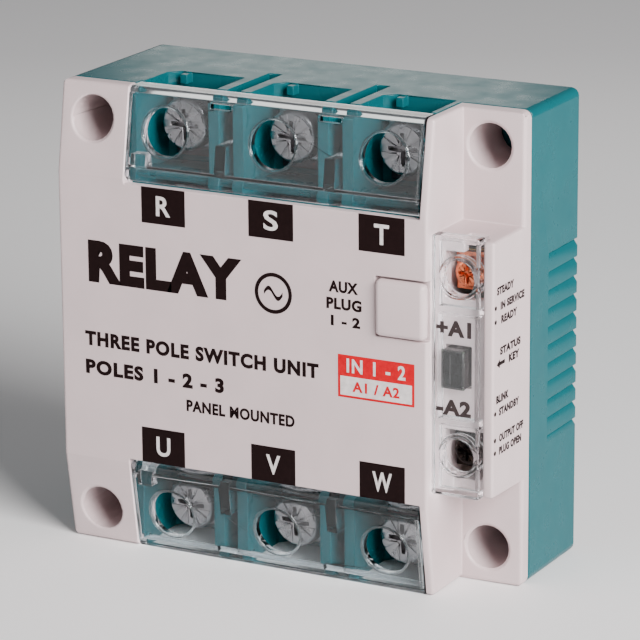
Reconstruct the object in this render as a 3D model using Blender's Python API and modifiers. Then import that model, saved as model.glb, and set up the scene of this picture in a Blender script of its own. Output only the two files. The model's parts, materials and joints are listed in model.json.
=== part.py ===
"""Three-pole solid state relay for panel mounting, as an assembly of separate pieces.

All lengths below are millimetres; place() turns them into Blender's metres.
+X is right, +Z is up and the front faces -Y. The origin is the middle of the mounting
face, which is the back of the base plate. Depths are Y values, so they are negative.
"""

import math

import bmesh
import bpy
from mathutils import Matrix, Vector

MM = 0.001
GAP = 0.3  # between pieces that touch or rest on each other
PAST = 1.0  # how far a cutter runs past the face that it opens
ROUND = 24  # sides of a round feature
SMALL_ROUND = 16  # sides of a small one

# Case, seen from the front
HALF_CASE = 45.0
CORNER_RADIUS = 1.5
HOUSING_WALL = 2.2
COVER_WALL = 1.8
SOFT_EDGE = 0.8
PLATE_HALF = HALF_CASE - HOUSING_WALL - GAP

# Depths, from the mounting face forward
PLATE_FRONT = -3.0
WELL_FLOOR = -9.0  # top of the bosses under the wells
SEAT_FRONT = -9.6  # where the fixing screws' heads bear
BLOCK_BACK = -13.6  # back of the two terminal blocks
SLOT_BACK = -14.5  # back of the slots between bays
BAY_FLOOR = -20.0
LOW_SEAM = -20.6  # housing rim beside the right-hand column
COLUMN_FRONT = -23.6  # front of the right-hand column
HIGH_SEAM = -32.2  # housing rim elsewhere
WALL_FRONT = -33.3  # front of the walls between bays
EDGE_FRONT = -35.2  # front face at the top and bottom edges
FACE_FRONT = -38.0  # front face between the terminal rows

# Right-hand column and the step that leads down to it
STEP_OUTER = 32.6
STEP_INNER = 31.0
SLOPE_START = 27.7  # height at which the front face starts to slope back
SLOPE = (EDGE_FRONT - FACE_FRONT) / (HALF_CASE - SLOPE_START)

# Fixing holes
WELL_X = 37.9
WELL_Z = 38.2
WELL_RADIUS = 4.4
WELL_TUBE_RADIUS = 5.4
WELL_RIM = 0.5
BOSS_RADIUS = 5.6
SEAT_RADIUS = 4.1
FIXING_RADIUS = 3.0

# Terminal bays
PITCH = 22.7
BAY_X = [0.5 + PITCH * step for step in (-1, 0, 1)]
BAY_HALF = 7.7
BAY_RIGHT_LIMIT = 29.5
BAY_INNER_Z = 28.0
BLOCK_INNER_Z = 25.8
SLOT_HALF = 1.4
SLOT_X = [x + PITCH / 2 for x in BAY_X[:2]]
SCREW_Z = 37.1
TERMINALS = [
    (name, x, side)
    for side, row in ((1, "rst"), (-1, "uvw"))
    for name, x in zip(row, BAY_X)
]

# Clear terminal covers and their opening in the grey cover
OPENING_LEFT = -30.5
OPENING_Z = 26.9
HINGE_Y = -36.3
HINGE_Z = 28.7
HINGE_RADIUS = 1.5
PIN_RADIUS = 0.8
PANEL = 1.4
FLANGE_Z = 43.6
FLANGE_BACK = -31.0

# Control block
CONTROL_X = 38.1
CONTROL_Z = 16.7
BLOCK_Z = 24.0
STRIP_FLOOR = -34.0
STRIP_BACK = STRIP_FLOOR - GAP
STRIP_FRONT = -37.3
STRIP_X = (STEP_OUTER + GAP, 42.5)
STRIP_WALL = 1.4
LAMP_WALL = 0.6
LAMP_X = (34.4, 39.6)
LAMP_Z = (-4.4, 3.5)
LENS_FRONT = STRIP_FRONT + LAMP_WALL + GAP

# Signal cap
CAP_X = (22.3, 32.5)
CAP_Z = (4.6, 15.3)
PLUG_X = (24.5, 30.1)
PLUG_Z = (6.7, 13.2)
PLUG_BACK = -27.3

# Inside
BOARD_BACK = -17.0
BOARD_FRONT = -18.6
BOARD_HALF_X = 42.0
BOARD_HALF_Z = 25.2
SUBSTRATE_FRONT = -4.6
HOUSING_SCREW_Z = 38.2

PARTS = "solid_state_relay"
TOOLS = "cutters"

# Outlines are drawn flat; these matrices stand them up across each axis.
STAND = {
    "X": Matrix(((0, 0, 1, 0), (1, 0, 0, 0), (0, 1, 0, 0), (0, 0, 0, 1))),
    "Y": Matrix.Rotation(math.radians(90), 4, "X"),
    "Z": Matrix.Identity(4),
}


def clear_scene():
    for obj in list(bpy.data.objects):
        bpy.data.objects.remove(obj, do_unlink=True)
    for name in (PARTS, TOOLS):
        group = bpy.data.collections.new(name)
        bpy.context.scene.collection.children.link(group)


# ---------------------------------------------------------------- materials


def material(name, colour, roughness, metallic=0.0, transmission=0.0):
    found = bpy.data.materials.get(name)
    if found:
        return found
    made = bpy.data.materials.new(name)
    made.use_nodes = True
    made.diffuse_color = (*colour, 1.0)
    shader = made.node_tree.nodes["Principled BSDF"]
    shader.inputs["Base Color"].default_value = (*colour, 1.0)
    shader.inputs["Roughness"].default_value = roughness
    shader.inputs["Metallic"].default_value = metallic
    shader.inputs["Transmission Weight"].default_value = transmission
    return made


def teal_plastic():
    return material("teal_plastic", (0.05, 0.27, 0.29), 0.35)


def grey_plastic():
    return material("grey_plastic", (0.62, 0.58, 0.58), 0.5)


def clear_plastic():
    return material("clear_plastic", (0.93, 0.95, 0.95), 0.05, transmission=1.0)


def smoked_plastic():
    return material("smoked_plastic", (0.12, 0.12, 0.12), 0.15, transmission=0.5)


def aluminium():
    return material("aluminium", (0.62, 0.63, 0.65), 0.4, metallic=1.0)


def nickel():
    return material("nickel_steel", (0.55, 0.55, 0.56), 0.25, metallic=1.0)


def zinc():
    return material("zinc_steel", (0.48, 0.49, 0.5), 0.35, metallic=1.0)


def tinned_copper():
    return material("tinned_copper", (0.3, 0.26, 0.27), 0.35, metallic=1.0)


def copper():
    return material("copper", (0.72, 0.36, 0.24), 0.3, metallic=1.0)


def brass():
    return material("brass", (0.7, 0.5, 0.22), 0.35, metallic=1.0)


def blackened_steel():
    return material("blackened_steel", (0.03, 0.026, 0.024), 0.4, metallic=1.0)


def board_laminate():
    return material("board_laminate", (0.04, 0.2, 0.1), 0.5)


def black_epoxy():
    return material("black_epoxy", (0.03, 0.03, 0.03), 0.5)


def lamp_resin():
    return material("lamp_resin", (0.75, 0.8, 0.75), 0.2, transmission=0.6)


# ------------------------------------------------------------------- shapes


def add_box(bm, x, y, z):
    """The box between two values on each axis, given in either order."""
    spans = [sorted(span) for span in (x, y, z)]
    size = [high - low for low, high in spans]
    middle = [(low + high) / 2 for low, high in spans]
    where = Matrix.Translation(middle) @ Matrix.Diagonal((*size, 1.0))
    bmesh.ops.create_cube(bm, size=1.0, matrix=where)


def add_cylinder(bm, radius, length, sides, where):
    ends = {"radius1": radius, "radius2": radius}
    bmesh.ops.create_cone(bm, cap_ends=True, segments=sides, depth=length, matrix=where, **ends)


def add_rod(bm, centre, radius, y, sides=ROUND):
    """A rod along Y, at centre (X, Z), between two depths."""
    where = Matrix.Translation((centre[0], sum(y) / 2, centre[1])) @ STAND["Y"]
    add_cylinder(bm, radius, abs(y[1] - y[0]), sides, where)


def add_axle(bm, centre, radius, x, sides=16):
    """A rod along X, at centre (Y, Z), between two values of X."""
    where = Matrix.Translation((sum(x) / 2, *centre)) @ Matrix.Rotation(math.radians(90), 4, "Y")
    add_cylinder(bm, radius, abs(x[1] - x[0]), sides, where)


def add_outline(bm, points, along, span):
    """A flat outline pushed along an axis between two values.

    The outline's points are (Y, Z) along X, (X, Z) along Y and (X, Y) along Z.
    """
    curve = bpy.data.curves.new("outline", "CURVE")
    curve.dimensions = "2D"
    curve.fill_mode = "BOTH"
    curve.extrude = abs(span[1] - span[0]) / 2
    spline = curve.splines.new("POLY")
    spline.points.add(len(points) - 1)
    for point, (across, up) in zip(spline.points, points):
        point.co = (across, up, 0.0, 1.0)
    spline.use_cyclic_u = True
    guide = bpy.data.objects.new("outline", curve)
    bpy.context.scene.collection.objects.link(guide)
    graph = bpy.context.evaluated_depsgraph_get()
    mesh = bpy.data.meshes.new_from_object(guide.evaluated_get(graph))
    solid = bmesh.new()
    solid.from_mesh(mesh)
    bmesh.ops.remove_doubles(solid, verts=solid.verts, dist=0.001)
    bmesh.ops.dissolve_limit(solid, angle_limit=0.001, verts=solid.verts, edges=solid.edges)
    shift = [sum(span) / 2 if axis == along else 0.0 for axis in "XYZ"]
    bmesh.ops.transform(solid, matrix=Matrix.Translation(shift) @ STAND[along], verts=solid.verts)
    bmesh.ops.recalc_face_normals(solid, faces=solid.faces)
    solid.to_mesh(mesh)
    solid.free()
    bm.from_mesh(mesh)
    bpy.data.objects.remove(guide)
    bpy.data.curves.remove(curve)
    bpy.data.meshes.remove(mesh)


def arc(centre, radius, start, end, steps):
    """Points of an arc between two angles in degrees."""
    angles = [math.radians(start + (end - start) * step / steps) for step in range(steps + 1)]
    return [(centre[0] + radius * math.cos(a), centre[1] + radius * math.sin(a)) for a in angles]


def rounded_square(half, radius):
    """A square outline with round corners, about the origin."""
    corners = ((1, 1, 0), (-1, 1, 90), (-1, -1, 180), (1, -1, 270))
    inset = half - radius
    return [
        point
        for side_x, side_z, start in corners
        for point in arc((side_x * inset, side_z * inset), radius, start, start + 90, 4)
    ]


def cross(arm, width):
    """The outline of a screw's cross recess, whose arms narrow towards their ends."""
    wide = width / 2
    tip = wide * 0.7
    quarter = [(arm, -tip), (arm, tip), (wide, wide)]
    turns = [Matrix.Rotation(math.radians(angle), 2) for angle in (0, 90, 180, 270)]
    return [tuple(turn @ Vector(point)) for turn in turns for point in quarter]


def shape(builder, *spans):
    """A new bmesh that holds one or more shapes from a builder."""
    bm = bmesh.new()
    for span in spans:
        builder(bm, *span)
    return bm


def place(name, bm, look, group=PARTS, origin=(0.0, 0.0, 0.0)):
    """Makes the object, with its origin at a point given in millimetres."""
    bmesh.ops.translate(bm, vec=[-value for value in origin], verts=bm.verts)
    bmesh.ops.scale(bm, vec=(MM, MM, MM), verts=bm.verts)
    mesh = bpy.data.meshes.new(name)
    bm.to_mesh(mesh)
    bm.free()
    obj = bpy.data.objects.new(name, mesh)
    obj.location = [value * MM for value in origin]
    if look:
        mesh.materials.append(look)
    bpy.data.collections[group].objects.link(obj)
    return obj


def tool(name, bm):
    """A helper for Booleans, drawn as a wire frame and never rendered."""
    made = place(name, bm, None, TOOLS)
    made.hide_render = True
    made.display_type = "WIRE"
    return made


def combine(obj, operation, helper):
    modifier = obj.modifiers.new(helper.name, "BOOLEAN")
    modifier.operation = operation
    modifier.solver = "EXACT"
    modifier.object = helper
    return helper


def cut(obj, name, bm):
    return combine(obj, "DIFFERENCE", tool(name, bm))


def join(obj, name, bm):
    return combine(obj, "UNION", tool(name, bm))


def soften(obj, width, segments=2):
    """Rounds the object's sharp edges; it comes before any Boolean."""
    modifier = obj.modifiers.new("soft edges", "BEVEL")
    modifier.width = width * MM
    modifier.segments = segments
    modifier.limit_method = "ANGLE"
    modifier.angle_limit = math.radians(30)


def turned(name, profile, look, group=PARTS, sides=ROUND):
    """A turned piece. The profile's (radius, height) points run from its front down to
    its back, and the height goes forward, along -Y."""
    bm = bmesh.new()
    verts = [bm.verts.new((radius, 0.0, height)) for radius, height in profile]
    for first, second in zip(verts, verts[1:]):
        bm.edges.new((first, second))
    obj = place(name, bm, look, group)
    obj.rotation_euler = (math.radians(90), 0.0, 0.0)
    screw = obj.modifiers.new("turn", "SCREW")
    screw.angle = math.tau
    screw.steps = sides
    screw.render_steps = sides
    screw.use_merge_vertices = True
    screw.merge_threshold = 0.00001
    screw.use_smooth_shade = False
    return obj


def settle(obj):
    """The finished mesh of an object; the object and the helpers it used are removed."""
    bpy.context.view_layer.update()
    graph = bpy.context.evaluated_depsgraph_get()
    mesh = bpy.data.meshes.new_from_object(obj.evaluated_get(graph))
    mesh.transform(obj.matrix_world)
    helpers = [modifier.object for modifier in obj.modifiers if modifier.type == "BOOLEAN"]
    bpy.data.objects.remove(obj, do_unlink=True)
    for helper in helpers:
        bpy.data.objects.remove(helper, do_unlink=True)
    return mesh


def copy_to(name, mesh, x=0.0, z=0.0, upside_down=False):
    """One more piece of a finished mesh, moved across the front and perhaps turned
    half round about the Y axis."""
    obj = bpy.data.objects.new(name, mesh)
    obj.location = (x * MM, 0.0, z * MM)
    obj.rotation_euler = (0.0, math.pi if upside_down else 0.0, 0.0)
    bpy.data.collections[PARTS].objects.link(obj)
    return obj


def in_material(mesh, look):
    """A copy of a finished mesh in another material."""
    other = mesh.copy()
    other.materials.clear()
    other.materials.append(look)
    return other


def mirrored(low, high, side):
    """A span of heights, on the upper side (1) or the lower side (-1)."""
    return (side * low, side * high)


def face_depth(z):
    """Depth of the grey cover's front face at a height."""
    return FACE_FRONT + max(0.0, abs(z) - SLOPE_START) * SLOPE


# ------------------------------------------------------------ case and base


def well_centres():
    return [(side_x * WELL_X, side_z * WELL_Z) for side_x in (-1, 1) for side_z in (-1, 1)]


def housing_screw_centres():
    return [(x, side * HOUSING_SCREW_Z) for x in SLOT_X for side in (-1, 1)]


def make_base_plate():
    plate = bmesh.new()
    add_outline(plate, rounded_square(PLATE_HALF, 1.0), "Y", (0.0, PLATE_FRONT))
    plate = place("base_plate", plate, aluminium())
    through = (PAST, PLATE_FRONT - PAST)
    fixings = [(at, FIXING_RADIUS, through) for at in well_centres()]
    cut(plate, "plate fixing holes", shape(add_rod, *fixings))
    holes = [(at, 1.5, through, SMALL_ROUND) for at in housing_screw_centres()]
    cut(plate, "plate screw holes", shape(add_rod, *holes))
    heads = [(at, 3.3, (PAST, -1.9), SMALL_ROUND) for at in housing_screw_centres()]
    cut(plate, "plate counterbores", shape(add_rod, *heads))


def make_housing_screws():
    screw = turned(
        "housing_screw",
        [(0.0, 10.5), (0.8, 10.5), (1.2, 9.7), (1.2, 1.6), (3.0, 1.6), (3.0, 0.5), (2.6, 0.2), (0.0, 0.2)],
        zinc(),
        sides=SMALL_ROUND,
    )
    recess = bmesh.new()
    add_outline(recess, cross(1.7, 0.6), "Y", (PAST, -1.1))
    cut(screw, "housing screw recess", recess)
    mesh = settle(screw)
    for number, (x, z) in enumerate(housing_screw_centres(), 1):
        copy_to(f"housing_screw_{number}", mesh, x, z)


def bay_outline(x):
    """A bay seen from above: straight sides, and a chamfer in its left back corner."""
    right = min(x + BAY_HALF, BAY_RIGHT_LIMIT)
    left = x - BAY_HALF
    chamfer = 2.0
    return [
        (left, -40.0),
        (right, -40.0),
        (right, BAY_FLOOR),
        (left + chamfer, BAY_FLOOR),
        (left, BAY_FLOOR - chamfer),
    ]


def add_terminal_blocks(housing):
    left, right = BAY_X[0] - BAY_HALF - 2.3, 32.0
    for side, name in ((1, "upper"), (-1, "lower")):
        block_z = mirrored(BLOCK_INNER_Z, 44.0, side)
        block = shape(add_box, ((left, right), (BLOCK_BACK, HIGH_SEAM + 0.4), block_z))
        join(housing, f"{name} terminal block", block)
        front = shape(add_box, ((left, right), (-30.0, WALL_FRONT), mirrored(BLOCK_INNER_Z, 42.9, side)))
        join(housing, f"{name} wall fronts", front)


def cut_bays(housing):
    for side, name in ((1, "upper"), (-1, "lower")):
        bays = bmesh.new()
        for x in BAY_X:
            add_outline(bays, bay_outline(x), "Z", mirrored(BAY_INNER_Z, 46.0, side))
        cut(housing, f"{name} bays", bays)
        slot_z = mirrored(BAY_INNER_Z, 46.0, side)
        slots = [((x - SLOT_HALF, x + SLOT_HALF), (SLOT_BACK, -40.0), slot_z) for x in SLOT_X]
        cut(housing, f"{name} slots", shape(add_box, *slots))
        legs = [((x - 4.4, x + 4.4), (BLOCK_BACK + PAST, -25.0), mirrored(29.2, 31.4, side)) for x in BAY_X]
        cut(housing, f"{name} leg slots", shape(add_box, *legs))
        nuts = [((x, side * SCREW_Z), 8.6 / math.sqrt(3), (-15.6, -25.0), 6) for x in BAY_X]
        cut(housing, f"{name} nut pockets", shape(add_rod, *nuts))
        bores = [((x, side * SCREW_Z), 2.8, (BLOCK_BACK + PAST, -18.0), SMALL_ROUND) for x in BAY_X]
        cut(housing, f"{name} screw bores", shape(add_rod, *bores))
        flange = ((OPENING_LEFT, STEP_INNER), (FLANGE_BACK + GAP, -40.0), mirrored(43.3, 46.0, side))
        cut(housing, f"{name} flange relief", shape(add_box, flange))
        rib_z = mirrored(43.0, 44.8, side)
        ribs = [((x - 5.05, x - 3.55), (BAY_FLOOR + PAST, BAY_FLOOR - 2.0), rib_z) for x in BAY_X]
        join(housing, f"{name} entry ribs", shape(add_box, *ribs))


def cut_side_grooves(housing):
    """Eleven grooves at the back of the right side, level above and sloped below."""
    depth, height, pitch, top = 0.9, 1.3, 3.5, 16.5
    inner = HALF_CASE - depth
    outer = HALF_CASE + PAST
    drop = height * (outer - inner) / depth
    grooves = bmesh.new()
    for number in range(11):
        z = top - number * pitch
        add_outline(grooves, [(outer, z), (inner, z), (outer, z - drop)], "Y", (PAST, -13.0))
    cut(housing, "side grooves", grooves)


def make_base_housing():
    body = bmesh.new()
    add_outline(body, rounded_square(HALF_CASE, CORNER_RADIUS), "Y", (-GAP, HIGH_SEAM))
    housing = place("base_housing", body, teal_plastic())
    inside = HALF_CASE - HOUSING_WALL
    cut(housing, "housing inside", shape(add_box, ((-inside, inside), (PAST, -40.0), (-inside, inside))))
    add_terminal_blocks(housing)
    bosses = [(at, BOSS_RADIUS, (PLATE_FRONT - GAP, WELL_FLOOR - 0.5)) for at in well_centres()]
    join(housing, "fixing bosses", shape(add_rod, *bosses))
    post_y = (PLATE_FRONT - GAP, BLOCK_BACK - 0.5)
    posts = [(at, 3.2, post_y, SMALL_ROUND) for at in housing_screw_centres()]
    join(housing, "screw posts", shape(add_rod, *posts))
    ledges = [
        ((x - 2.0, x + 2.0), (BLOCK_BACK - 0.4, BOARD_BACK + GAP), mirrored(24.2, BLOCK_INNER_Z + 0.6, side))
        for x in (-18.0, 18.0)
        for side in (-1, 1)
    ]
    join(housing, "board ledges", shape(add_box, *ledges))
    step = ((STEP_INNER - GAP, 46.0), (LOW_SEAM, -40.0), (-46.0, 46.0))
    cut(housing, "step", shape(add_box, step))
    cut_bays(housing)
    tubes = [(at, WELL_TUBE_RADIUS + GAP, (WELL_FLOOR, -40.0)) for at in well_centres()]
    cut(housing, "tube seats", shape(add_rod, *tubes))
    seats = [(at, SEAT_RADIUS, (WELL_FLOOR + PAST, SEAT_FRONT)) for at in well_centres()]
    join(housing, "head seats", shape(add_rod, *seats))
    holes = [(at, FIXING_RADIUS, (-1.0, SEAT_FRONT - PAST)) for at in well_centres()]
    cut(housing, "fixing holes", shape(add_rod, *holes))
    threads = [(at, 1.5, (-2.0, -12.0), SMALL_ROUND) for at in housing_screw_centres()]
    cut(housing, "screw post holes", shape(add_rod, *threads))
    cut_side_grooves(housing)


# -------------------------------------------------------------- front cover


def cover_section(inset, back):
    """The cover seen from its side: flat in the middle, sloping back above and below."""
    edge = HALF_CASE - inset
    start = SLOPE_START - inset * 0.15
    return [
        (back, -edge),
        (face_depth(edge) + inset, -edge),
        (FACE_FRONT + inset, -start),
        (FACE_FRONT + inset, start),
        (face_depth(edge) + inset, edge),
        (back, edge),
    ]


def add_cover_blocks(cover):
    """The right-hand column and the control block on it."""
    column = ((20.0, HALF_CASE), (-5.0, COLUMN_FRONT), (-HALF_CASE, HALF_CASE))
    column = join(cover, "column", shape(add_box, column))
    soften(column, SOFT_EDGE)
    join(cover, "control block", shape(add_box, ((31.5, 44.0), (-15.0, STRIP_FLOOR), (-BLOCK_Z, BLOCK_Z))))
    rail = shape(add_box, ((42.8, HALF_CASE), (-15.0, -36.4), (-BLOCK_Z, BLOCK_Z)))
    rail = join(cover, "control rail", rail)
    soften(rail, 0.6)


def hollow_cover(cover):
    """Takes out the cover's inside, all but the tubes of the four wells."""
    edge = HALF_CASE - COVER_WALL
    left = shape(add_box, ((-46.0, STEP_INNER), (-4.0, HIGH_SEAM - GAP), (-46.0, 46.0)))
    inside = cut(cover, "cover inside", left)
    shell = bmesh.new()
    add_outline(shell, cover_section(COVER_WALL, -28.0), "X", (-edge, STEP_INNER))
    join(inside, "cover inside shell", shell)
    join(inside, "behind column", shape(add_box, ((30.0, 46.0), (-4.5, LOW_SEAM - GAP), (-46.0, 46.0))))
    column = ((STEP_OUTER, edge), (-15.0, COLUMN_FRONT + COVER_WALL), (-edge, edge))
    join(inside, "column inside", shape(add_box, column))
    block = ((34.3, 42.6), (-15.0, STRIP_FLOOR + COVER_WALL), (COVER_WALL - BLOCK_Z, BLOCK_Z - COVER_WALL))
    join(inside, "control block inside", shape(add_box, block))
    tubes = [(at, WELL_TUBE_RADIUS, (-3.0, -42.0)) for at in well_centres()]
    cut(inside, "well tubes", shape(add_rod, *tubes))
    cut(cover, "tube ends", shape(add_box, ((-46.0, 46.0), (-3.0, WELL_FLOOR - GAP), (-46.0, 46.0))))


def cut_wells(cover):
    bores = [(at, WELL_RADIUS, (-2.0, -45.0)) for at in well_centres()]
    cut(cover, "well bores", shape(add_rod, *bores))
    rim = arc((WELL_RADIUS + WELL_RIM, -WELL_RIM), WELL_RIM, 90, 170, 3)
    profile = [(0.0, 1.5), (WELL_RADIUS + WELL_RIM + 0.4, 1.5), (WELL_RADIUS + WELL_RIM + 0.4, 0.0)]
    profile += rim + [(0.0, rim[-1][1])]
    for number, (x, z) in enumerate(well_centres(), 1):
        flare = turned(f"well rim {number}", profile, None, TOOLS)
        tilt = math.atan(SLOPE) * math.copysign(1.0, z) if x < 0 else 0.0
        depth = face_depth(z) if x < 0 else COLUMN_FRONT
        flare.location = (x * MM, depth * MM, z * MM)
        flare.rotation_euler = (math.radians(90) - tilt, 0.0, 0.0)
        flare.hide_render = True
        flare.display_type = "WIRE"
        combine(cover, "DIFFERENCE", flare)


def open_bays(cover):
    """Openings for the two clear covers, with lugs and pin holes for their hinges."""
    for side, name in ((1, "upper"), (-1, "lower")):
        opening = ((OPENING_LEFT, STEP_INNER), (-5.0, -50.0), mirrored(OPENING_Z, 46.0, side))
        cut(cover, f"{name} opening", shape(add_box, opening))
        lug = ((-33.2, OPENING_LEFT - 0.1), (-34.4, -36.9), mirrored(26.2, 31.2, side))
        join(cover, f"{name} hinge lug", shape(add_box, lug))
        centre = (HINGE_Y, side * HINGE_Z)
        holes = [(centre, PIN_RADIUS + GAP, x) for x in ((-32.6, -30.0), (30.5, 32.0))]
        cut(cover, f"{name} pin holes", shape(add_axle, *holes))


def open_cap_seat(cover):
    join(cover, "cap seat back", shape(add_box, ((21.8, 31.6), (-33.5, -37.0), (3.6, 16.3))))
    seat_z = (CAP_Z[0] - GAP, CAP_Z[1] + GAP)
    cut(cover, "cap seat", shape(add_box, ((CAP_X[0] - GAP, 34.0), (-36.5, -42.0), seat_z)))
    plug = ((PLUG_X[0] - GAP, PLUG_X[1] + GAP), (-20.0, -42.0), (PLUG_Z[0] - GAP, PLUG_Z[1] + GAP))
    cut(cover, "plug opening", shape(add_box, plug))


def open_control_block(cover):
    """Windows over the two control terminals and the lamp, and the two wire entries."""
    windows = [((34.4, 41.8), (-30.0, -36.0), mirrored(12.4, 21.0, side)) for side in (1, -1)]
    windows.append((LAMP_X, (-30.0, -36.0), LAMP_Z))
    cut(cover, "control windows", shape(add_box, *windows))
    entries = [((38.2, 42.1), (-31.8, -36.0), (20.5, 26.0)), ((36.3, 41.9), (-31.8, -36.0), (-26.0, -20.5))]
    cut(cover, "wire entries", shape(add_box, *entries))


def make_front_cover():
    body = bmesh.new()
    add_outline(body, cover_section(0.0, -6.0), "X", (-HALF_CASE, STEP_OUTER))
    cover = place("front_cover", body, grey_plastic())
    soften(cover, SOFT_EDGE)
    add_cover_blocks(cover)
    corners = bmesh.new()
    add_outline(corners, rounded_square(HALF_CASE, CORNER_RADIUS), "Y", (-2.0, -45.0))
    combine(cover, "INTERSECT", tool("cover corners", corners))
    hollow_cover(cover)
    cut_wells(cover)
    open_bays(cover)
    open_cap_seat(cover)
    open_control_block(cover)


# ------------------------------------------------------------- clear covers


def panel_section(side):
    """A terminal cover seen from its side: hinge barrel, sloping panel, outer flange."""
    front = face_depth(FLANGE_Z)
    barrel = arc((HINGE_Y, HINGE_Z), HINGE_RADIUS, 180, 440, 12)
    outline = barrel + [
        (face_depth(31.0) + PANEL, 31.0),
        (front + PANEL, FLANGE_Z),
        (FLANGE_BACK, FLANGE_Z),
        (FLANGE_BACK, 44.7),
        (FLANGE_BACK - 0.3, 45.0),
        (EDGE_FRONT + 0.4, 45.0),
        (face_depth(44.5), 44.5),
        (face_depth(29.2), 29.2),
    ]
    return [(y, side * z) for y, z in outline]


def make_terminal_cover(name, side):
    """One clear cover. Its left and right ends keep a gap to the grey cover."""
    ends = (OPENING_LEFT + GAP, STEP_INNER - GAP)
    body = bmesh.new()
    add_outline(body, panel_section(side), "X", ends)
    cover = place(name, body, clear_plastic(), origin=(0.0, HINGE_Y, side * HINGE_Z))
    centre = (HINGE_Y, side * HINGE_Z)
    join(cover, f"{name} pin", shape(add_axle, (centre, PIN_RADIUS, (ends[0] - 1.6, ends[1] + 1.0))))
    fingers = [((x - 1.1, x + 1.1), (-29.5, -36.6), mirrored(29.4, 35.5, side)) for x in SLOT_X]
    join(cover, f"{name} fingers", shape(add_box, *fingers))
    corner = ((-29.7, -26.6), (-33.6, -36.8), mirrored(29.5, 32.3, side))
    join(cover, f"{name} corner block", shape(add_box, corner))
    holes = [((x, side * SCREW_Z), 4.5, (-30.0, -42.0)) for x in BAY_X]
    cut(cover, f"{name} access holes", shape(add_rod, *holes))
    window_z = (42.2, 43.3)
    windows = [((x - 2.1, x + 2.1), (-32.5, -40.0), mirrored(*window_z, side)) for x in SLOT_X]
    cut(cover, f"{name} snap windows", shape(add_box, *windows))


def make_control_cover():
    """The clear strip: a shallow tray facing back, with a round screwdriver guide over
    each control screw. It is thinner over the lamp."""
    strip = shape(add_box, (STRIP_X, (STRIP_BACK, STRIP_FRONT), (-24.4, 24.4)))
    strip = place("control_terminal_cover", strip, clear_plastic())
    soften(strip, 0.4)
    front_wall = (STRIP_BACK + PAST, STRIP_FRONT + STRIP_WALL)
    lamp_wall = (STRIP_BACK + PAST, STRIP_FRONT + LAMP_WALL)
    inner_x = (STRIP_X[0] + 1.2, STRIP_X[1] - 1.0)
    pockets = [(inner_x, front_wall, z) for z in ((11.2, 23.2), (-23.2, -11.2))]
    pockets.append((inner_x, lamp_wall, (-9.8, 9.8)))
    pockets = cut(strip, "strip pockets", shape(add_box, *pockets))
    centres = [(CONTROL_X, side * CONTROL_Z) for side in (1, -1)]
    cut(pockets, "guide tubes", shape(add_rod, *[(at, 4.05, (-30.0, -40.0)) for at in centres]))
    cut(strip, "guide bores", shape(add_rod, *[(at, 3.4, (-30.0, -40.0)) for at in centres]))


def make_signal_cap():
    """The plug of the signal output: a cushion-shaped cap on a two-hole plug."""
    cap = shape(add_box, (CAP_X, (-36.8, -39.2), CAP_Z))
    cap = place("signal_connector_cap", cap, grey_plastic())
    soften(cap, 1.1, 3)
    join(cap, "plug", shape(add_box, (PLUG_X, (PLUG_BACK, -38.0), PLUG_Z)))
    sockets = [((27.3, z), 0.9, (PLUG_BACK + PAST, -32.2), 12) for z in (8.3, 11.6)]
    cut(cap, "sockets", shape(add_rod, *sockets))


# --------------------------------------------------------- power terminals


def screw_profile(front, seat, tip, head_radius, shank_radius):
    """A screw from the middle of its head to its tip, as (radius, height forward)."""
    return [
        (0.0, -front),
        (head_radius - 0.9, -front),
        (head_radius - 0.3, -front - 0.3),
        (head_radius, -front - 0.9),
        (head_radius, -seat),
        (shank_radius, -seat),
        (shank_radius, -tip + 0.5),
        (shank_radius - 0.5, -tip),
        (0.0, -tip),
    ]


def terminal_screw_mesh():
    screw = turned("terminal_screw", screw_profile(-29.1, -25.6, -14.0, 5.1, 2.4), nickel(), sides=20)
    recess = bmesh.new()
    add_outline(recess, cross(3.0, 1.0), "Y", (-27.2, -30.0))
    cut(screw, "screw recess", recess)
    return settle(screw)


def spring_washer_mesh():
    washer = place("spring_washer", shape(add_rod, ((0.0, 0.0), 4.4, (-24.2, -25.3), SMALL_ROUND)), zinc())
    cut(washer, "washer hole", shape(add_rod, ((0.0, 0.0), 2.7, (-23.0, -27.0), SMALL_ROUND)))
    cut(washer, "washer split", shape(add_box, ((-0.4, 0.4), (-23.0, -27.0), (1.0, 6.0))))
    return settle(washer)


def clamp_washer_mesh():
    plate = place("clamp_washer", shape(add_box, ((-5.5, 5.5), (-22.1, -23.9), (-5.5, 5.5))), nickel())
    soften(plate, 0.4, 1)
    cut(plate, "clamp hole", shape(add_rod, ((0.0, 0.0), 2.9, (-21.0, -25.0), SMALL_ROUND)))
    return settle(plate)


def terminal_bar_mesh():
    """A plate under the screw, with a leg going back to the thyristor module. The leg
    is on the side of the object's middle, which is down on the upper terminals."""
    inner = 29.5 - SCREW_Z
    bar = place("terminal_bar", shape(add_box, ((-6.0, 6.0), (-20.3, -21.8), (inner, 4.4))), tinned_copper())
    leg = ((-4.0, 4.0), (SUBSTRATE_FRONT - GAP, -21.0), (inner - 0.05, inner + 1.6))
    join(bar, "bar leg", shape(add_box, leg))
    cut(bar, "bar hole", shape(add_rod, ((0.0, 0.0), 2.9, (-19.0, -23.0), SMALL_ROUND)))
    return settle(bar)


def terminal_nut_mesh():
    nut = place("terminal_nut", shape(add_rod, ((0.0, 0.0), 8.0 / math.sqrt(3), (-15.9, -19.7), 6)), zinc())
    cut(nut, "nut hole", shape(add_rod, ((0.0, 0.0), 2.7, (-15.0, -21.0), SMALL_ROUND)))
    return settle(nut)


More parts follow.
